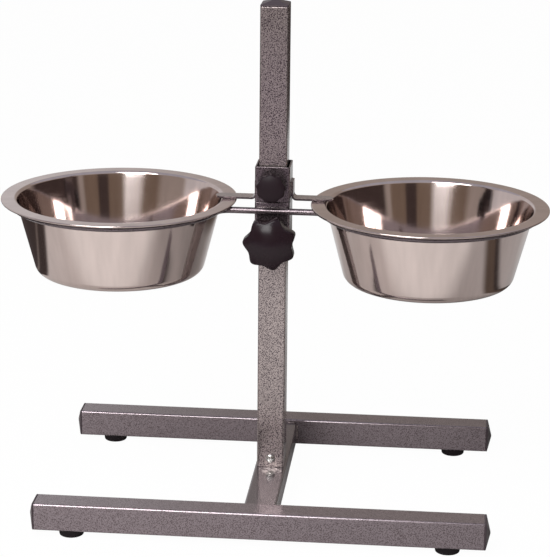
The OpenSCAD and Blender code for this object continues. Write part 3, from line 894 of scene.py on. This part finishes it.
class FEEDER_OT_bowls(bpy.types.Operator):
    """Spins the two steel bowls"""
    bl_idname = "feeder.bowls"
    bl_label = "Bowls"

    def execute(self, context):
        sizes = context.scene.feeder_bowls
        steps = 160
        for side in SIDES:
            node = side + "_bowl"
            span, middle = size_of(node), middle_of(node)
            profile, satin_from, satin_to = self.section(sizes, span.y / 2, span.z)
            place = Matrix.Translation((middle.x, middle.y, high_of(node).z))
            piece = new_object("spun_" + node, *turned(profile, steps), place, 60)
            self.mark(piece.data, profile, steps, satin_from, satin_to)
            dress(context, piece, ["polished_stainless", "satin_stainless"], side + "_dish",
                  "stainless_steel", node)
        return {"FINISHED"}

    def section(self, sizes, rim, depth):
        """The bowl's section from the middle of its floor, over the rim and back under the base.

        Heights are from the rim's top. The first and last of the points on the satin rim come with it.
        """
        lean, sheet, corner, turn = sizes.lean, sizes.sheet, sizes.corner, sizes.turn
        mouth, bead = sizes.mouth / 2, sizes.bead / 2
        foot = corner - depth
        wall_run = (-turn - foot) * math.tan(lean)
        corner_x = mouth - (turn + corner) / math.cos(lean) - wall_run
        floor_in = arc(corner_x, foot, corner - sheet, -QUARTER, -lean, 16)
        turn_in = arc(mouth, -turn, turn, math.pi - lean, QUARTER, 14)
        roll = arc(rim - bead, -bead, bead, QUARTER, math.asin(1 - sheet / bead) - math.pi, 20)
        turn_out = arc(mouth, -turn, turn - sheet, QUARTER, math.pi - lean, 12)
        floor_out = arc(corner_x, foot, corner, -lean, -QUARTER, 18)
        inner_middle, outer_middle = (0, sheet - depth), (0, -depth)
        inside = [inner_middle] + between(inner_middle, floor_in[0], 7) + floor_in
        inside += between(floor_in[-1], turn_in[0], 12) + turn_in
        top = between(turn_in[-1], roll[0], 6) + roll
        under = between(roll[-1], turn_out[0], 4) + turn_out
        under += between(turn_out[-1], floor_out[0], 12) + floor_out
        under += between(floor_out[-1], outer_middle, 7) + [outer_middle]
        satin_turn = 10
        return inside + top + under, len(inside) - satin_turn, len(inside) + len(top)

    def mark(self, mesh, profile, steps, satin_from, satin_to):
        """Unwraps the bowl round its axis and along its section in metres, and marks the satin rim."""
        along = [0.0]
        for (r, h), (s, k) in zip(profile, profile[1:]):
            along.append(along[-1] + math.hypot(s - r, k - h))
        layer = mesh.uv_layers.new(name=BOWL_UV)
        station = [0] + [1 + i // steps for i in range(steps * (len(profile) - 2))] + [len(profile) - 1]
        for face in mesh.polygons:
            rows = [station[v] for v in face.vertices]
            turns = [((v - 1) % steps) / steps for v in face.vertices]
            crosses = max(turns) - min(turns) > 0.5
            for loop, row, part in zip(face.loop_indices, rows, turns):
                layer.data[loop].uv = (part + 1 if crosses and part < 0.5 else part, along[row])
            face.material_index = 1 if satin_from <= min(rows) and max(rows) <= satin_to else 0


class FEEDER_OT_welds(bpy.types.Operator):
    """Lays the weld beads at the joints of the painted steel"""
    bl_idname = "feeder.welds"
    bl_label = "Weld beads"

    def execute(self, context):
        sizes = context.scene.feeder_rings
        tree = weld_tree()
        for name, seams, body, seed in [("wire_weld", self.wire_seams(sizes), "carriage", 3),
                                        ("arm_weld", self.arm_seams(), "hold_down", 5),
                                        ("cross_bar_weld", self.bar_seams(sizes), "base", 7)]:
            piece = grow(name, seams, tree, Width=sizes.bead, Ripple=sizes.bead_step, Seed=seed,
                         Finish=finish(context, "hammertone_enamel"))
            dress(context, piece, ["hammertone_enamel"], body, "hammertone_paint")
        return {"FINISHED"}

    def wire_seams(self, sizes):
        """Above and below the front wire, on the sleeve."""
        low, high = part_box("height_sleeve")
        y, z, off = low.y - sizes.bead_sunk, middle_of("bowl_ring_frame").z, sizes.wire * 0.36
        return [[(x, y, z + rise) for x in (low.x + sizes.bead_inset, high.x - sizes.bead_inset)]
                for rise in (-off, off)]

    def arm_seams(self):
        """Up the front of each arm's leg and over its top."""
        foot, below_top, front_inset, back_inset = 8 * MM, 0.5 * MM, 1 * MM, 3 * MM
        seams = []
        for side, sign in SIDES.items():
            low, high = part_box(side + "_clamp_arm")
            x = sign * high_of("clamp_sleeve").x
            seams.append([(x, low.y, low.z + foot), (x, low.y, high.z - below_top)])
            seams.append([(x, low.y + front_inset, high.z), (x, high.y - back_inset, high.z)])
        return seams

    def bar_seams(self, sizes):
        """Over the top and up both sides of the cross bar's ends."""
        low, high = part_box("cross_bar")
        inset, top = sizes.bead_inset, high.z - sizes.bead_sunk
        seams = []
        for y in (low.y, high.y):
            seams.append([(low.x + inset, y, top), (high.x - inset, y, top)])
            for x in (low.x, high.x):
                seams.append([(x, y, low.z + inset), (x, y, high.z - inset)])
        return seams


# Stage

def area_light(name, place, aim, width, tall, power):
    lamp = bpy.data.lights.new(name, "AREA")
    lamp.shape = "RECTANGLE"
    lamp.size = width
    lamp.size_y = tall
    lamp.energy = power
    light = add_object(name, lamp)
    light.location = place
    light.rotation_euler = (Vector(aim) - Vector(place)).to_track_quat("-Z", "Y").to_euler()
    light.visible_camera = False


def card(name, height, size, material, turn=0.0):
    """A level square of the stage; half a turn makes it face down."""
    half = size / 2
    mesh = bpy.data.meshes.new(name)
    mesh.from_pydata([(-half, -half, 0), (half, -half, 0), (half, half, 0), (-half, half, 0)], [],
                     [(0, 1, 2, 3)])
    mesh.materials.append(material)
    made = add_object(name, mesh)
    made.location.z = height
    made.rotation_euler.x = turn
    return made


def seen_white(tree, ray, straight, mirrored):
    """How white a surface is where a ray comes straight from the camera, or off a mirror or through glass."""
    off = add_node(tree, "ShaderNodeMath", {
        0: ray["Is Glossy Ray"], 1: ray["Is Transmission Ray"]}, operation="MAXIMUM")
    off_share = add_node(tree, "ShaderNodeMath", {0: off, 1: mirrored}, operation="MULTIPLY")
    return add_node(tree, "ShaderNodeMath", {
        0: ray["Is Camera Ray"], 1: straight, 2: off_share}, operation="MULTIPLY_ADD")


class FEEDER_OT_stage(bpy.types.Operator):
    """Sets the floor, the room that the steel mirrors, the lights and the camera"""
    bl_idname = "feeder.stage"
    bl_label = "Stage"

    def execute(self, context):
        stage = context.scene.feeder_stage
        tones = context.scene.feeder_colours
        context.scene.view_settings.view_transform = "Standard"
        self.floor(tones)
        self.sky(context, stage)
        aim = (0, 0, 0.22)
        area_light("key_light", place=(-0.5, -2.1, 1.36), aim=aim, width=0.9, tall=0.7, power=stage.key)
        area_light("top_light", place=(-0.6, -1.25, 1.9), aim=aim, width=1.3, tall=1.1, power=stage.top)
        self.room(stage, tones)
        self.camera(context, stage)
        return {"FINISHED"}

    def floor(self, tones):
        """A pale floor that keeps the stand's shadow; mirrors also see where its pale sheet ends."""
        floor, shade, white = tones.floor, tones.shade, grey(1.0)
        dark, mid, brown = tones.room_dark, tones.room_mid, tones.room_brown
        floor_size = 14
        # How white the camera sees the floor; what is left keeps the shadow
        straight = 0.98
        material, tree = new_material("pale_floor")
        place = add_node(tree, "ShaderNodeTexCoord").outputs["Object"]
        axes = add_node(tree, "ShaderNodeSeparateXYZ", {"Vector": place}).outputs
        ray = add_node(tree, "ShaderNodeLightPath").outputs
        # The pale sheet is wider in front than behind
        side = add_node(tree, "ShaderNodeMath", {0: axes["X"]}, operation="SIGN")
        slant = add_node(tree, "ShaderNodeMath", {0: axes["Y"], 1: 0.5}, operation="MULTIPLY")
        reach = add_node(tree, "ShaderNodeMath", {0: slant, 1: side, 2: axes["X"]}, operation="MULTIPLY_ADD")
        beside = self.tones_along(tree, reach, [
            (-0.75, dark), (-0.735, mid), (-0.72, dark), (-0.63, dark), (-0.6, white), (0.44, white),
            (0.49, brown), (0.55, brown), (0.57, dark), (0.59, dark), (0.63, white), (0.9, white),
            (1.0, dark)])
        ahead = self.tones_along(tree, axes["Y"], [
            (-1.05, tones.far_floor), (-0.85, floor), (-0.28, floor), (-0.21, shade), (0.4, shade),
            (0.6, floor)])
        sheet = add_node(tree, "ShaderNodeMix", {0: 1.0, 6: beside, 7: ahead}, data_type="RGBA",
                         blend_type="MULTIPLY").outputs[2]
        # From just ahead of the stand, mirrors see the floor darker on the right: painted shade of the stand,
        # seen only in mirrors
        near = add_node(tree, "ShaderNodeMapRange", {"Value": axes["Y"], "From Min": -0.3, "From Max": -0.24})
        right = add_node(tree, "ShaderNodeMapRange", {"Value": axes["X"], "From Min": -0.1, "From Max": 0.2})
        corner = add_node(tree, "ShaderNodeMath", {0: near, 1: right}, operation="MULTIPLY")
        mirrored = add_node(tree, "ShaderNodeMix", {0: corner, 6: sheet, 7: grey(0.66)}, data_type="RGBA",
                            blend_type="MULTIPLY").outputs[2]
        tone = add_node(tree, "ShaderNodeMix", {0: ray["Is Glossy Ray"], 6: floor, 7: mirrored},
                        data_type="RGBA").outputs[2]
        ground = add_node(tree, "ShaderNodeBsdfPrincipled", {"Base Color": tone, "Roughness": 0.8})
        # Far behind and far to the sides, mirrors see it whiter
        depth = add_node(tree, "ShaderNodeMapRange", {"Value": axes["Y"], "From Min": 0.0, "From Max": 2.0})
        behind = add_node(tree, "ShaderNodeValToRGB", {"Fac": depth}, stops=[
            (0.2, grey(0.05)), (0.4, grey(0.2)), (0.6, grey(0.2)), (0.7, grey(0.5))])
        away = add_node(tree, "ShaderNodeMath", {0: axes["X"]}, operation="ABSOLUTE")
        aside = add_node(tree, "ShaderNodeMapRange", {
            "Value": away, "From Min": 0.3, "From Max": 0.55, "To Min": 0.0, "To Max": 0.25})
        whiter = add_node(tree, "ShaderNodeMath", {0: behind, 1: aside}, operation="ADD")
        glow_tone = add_node(tree, "ShaderNodeMix", {0: ray["Is Glossy Ray"], 6: white, 7: beside},
                             data_type="RGBA").outputs[2]
        glow = add_node(tree, "ShaderNodeEmission", {"Color": glow_tone, "Strength": 1.0})
        mixed = add_node(tree, "ShaderNodeMixShader", {
            0: seen_white(tree, ray, straight, whiter), 1: ground, 2: glow})
        add_node(tree, "ShaderNodeOutputMaterial", {"Surface": mixed})
        card("floor", 0.0, floor_size, material)

    def tones_along(self, tree, distance, stops):
        """A colour that changes over the floor round the middle, from distances and their colours."""
        reach = 1.25
        share = add_node(tree, "ShaderNodeMapRange", {
            "Value": distance, "From Min": -reach, "From Max": reach})
        return add_node(tree, "ShaderNodeValToRGB", {"Fac": share}, stops=[
            (d / (2 * reach) + 0.5, tone) for d, tone in stops])

    def room(self, stage, tones):
        """Walls and a ceiling round the stage, for the steel and the paint to mirror."""
        reach, tall, wall_sides = stage.room_reach, stage.room_height, 72
        dark, brown, mid, pale = tones.room_dark, tones.room_brown, tones.room_mid, tones.room_pale
        # Bearings are in degrees from the front towards the right; a window is in the front wall
        window = (-16, -2)
        bearings = [(-90, pale), (-78, pale), (-72, mid), (-46, mid), (-38, brown), (-24, brown),
                    (window[0], mid), (window[1], mid), (4, brown), (19, brown), (21, dark), (32, dark),
                    (34, brown), (50, brown), (52, mid), (56, mid), (60, dark), (122, dark), (136, mid),
                    (184, mid), (196, pale)]
        lit = [(b, grey(1.0) if b in window else tone) for b, tone in bearings]
        plain = [(-90, pale), (-70, mid), (184, mid), (196, pale)]
        material, tree = new_material("room_walls")
        place = add_node(tree, "ShaderNodeTexCoord").outputs["Object"]
        height = add_node(tree, "ShaderNodeSeparateXYZ", {"Vector": place}).outputs["Z"]
        bearing = add_node(tree, "ShaderNodeTexGradient", {"Vector": place}, gradient_type="RADIAL")
        wall, lit_band, plain_band = [
            add_node(tree, "ShaderNodeValToRGB", {"Fac": bearing.outputs["Fac"]}, stops=[
                ((b + 90) / 360, tone) for b, tone in band]) for band in (bearings, lit, plain)]
        # The window begins at its sill, and the wall above it is plain
        for band, low, high in ((lit_band, 1.0, 1.2), (plain_band, 1.35, 1.6)):
            share = add_node(tree, "ShaderNodeMapRange", {"Value": height, "From Min": low, "From Max": high})
            wall = add_node(tree, "ShaderNodeMix", {0: share, 6: wall, 7: band}, data_type="RGBA").outputs[2]
        glow = add_node(tree, "ShaderNodeEmission", {"Color": wall, "Strength": 1.0})
        add_node(tree, "ShaderNodeOutputMaterial", {"Surface": glow})
        walls = new_object("walls", *skin([circle(reach, h, wall_sides) for h in (0, tall)]))
        walls.data.materials.append(material)
        material, tree = new_material("room_ceiling")
        glow = add_node(tree, "ShaderNodeEmission", {"Color": tones.room_cool, "Strength": 1.0})
        add_node(tree, "ShaderNodeOutputMaterial", {"Surface": glow})
        ceiling = card("ceiling", tall, 2 * reach, material, math.pi)
        for piece in (walls, ceiling):
            piece.visible_camera = False
            piece.visible_diffuse = False
            piece.visible_shadow = False

    def sky(self, context, stage):
        """Soft light all round, white where the camera or a mirror sees it."""
        world = bpy.data.worlds.new("soft_sky")
        world.use_nodes = True
        tree = world.node_tree
        tree.nodes.clear()
        soft = add_node(tree, "ShaderNodeBackground", {"Color": (1, 0.985, 0.97, 1), "Strength": stage.sky})
        white = add_node(tree, "ShaderNodeBackground", {"Color": grey(1.0), "Strength": 1.0})
        ray = add_node(tree, "ShaderNodeLightPath").outputs
        mixed = add_node(tree, "ShaderNodeMixShader", {0: seen_white(tree, ray, 1.0, 1.0), 1: soft, 2: white})
        add_node(tree, "ShaderNodeOutputWorld", {"Surface": mixed})
        context.scene.world = world

    def camera(self, context, stage):
        eye = bpy.data.cameras.new("camera")
        eye.sensor_fit = "HORIZONTAL"
        eye.sensor_width = 36
        eye.lens = stage.lens
        camera = add_object("camera", eye)
        turn = Matrix.Rotation(stage.yaw, 4, "Z") @ Matrix.Rotation(QUARTER + stage.pitch, 4, "X")
        camera.matrix_world = Matrix.Translation(stage.eye) @ turn @ Matrix.Rotation(stage.roll, 4, "Z")
        context.scene.camera = camera


OPERATORS = (FEEDER_OT_tubes, FEEDER_OT_caps, FEEDER_OT_feet, FEEDER_OT_fasteners, FEEDER_OT_ring_frame,
             FEEDER_OT_clamp_arms, FEEDER_OT_knobs, FEEDER_OT_bowls, FEEDER_OT_welds, FEEDER_OT_stage)
GROUPS = {"feeder_tubes": FeederTubes, "feeder_rings": FeederRings, "feeder_bowls": FeederBowls,
          "feeder_knobs": FeederKnobs, "feeder_colours": FeederColours, "feeder_stage": FeederStage}


class FEEDER_PT_panel(bpy.types.Panel):
    """Lists the stand's pieces and its stage"""
    bl_label = "Dog feeder stand"
    bl_space_type = "VIEW_3D"
    bl_region_type = "UI"
    bl_category = "Feeder"

    def draw(self, context):
        for operator in OPERATORS:
            self.layout.operator(operator.bl_idname)
        for name in GROUPS:
            group = getattr(context.scene, name)
            column = self.layout.column()
            for key in group.__annotations__:
                column.prop(group, key)


def register():
    for name, group in GROUPS.items():
        bpy.utils.register_class(group)
        setattr(bpy.types.Scene, name, bpy.props.PointerProperty(type=group))
    for cls in OPERATORS + (FEEDER_PT_panel,):
        bpy.utils.register_class(cls)


def unregister():
    for cls in reversed(OPERATORS + (FEEDER_PT_panel,)):
        bpy.utils.unregister_class(cls)
    for name, group in reversed(GROUPS.items()):
        delattr(bpy.types.Scene, name)
        bpy.utils.unregister_class(group)


def main():
    register()
    bpy.ops.feeder.tubes()
    bpy.ops.feeder.caps()
    bpy.ops.feeder.feet()
    bpy.ops.feeder.fasteners()
    bpy.ops.feeder.ring_frame()
    bpy.ops.feeder.clamp_arms()
    bpy.ops.feeder.knobs()
    bpy.ops.feeder.bowls()
    bpy.ops.feeder.welds()
    bpy.ops.feeder.stage()


if __name__ == "__main__":
    main()
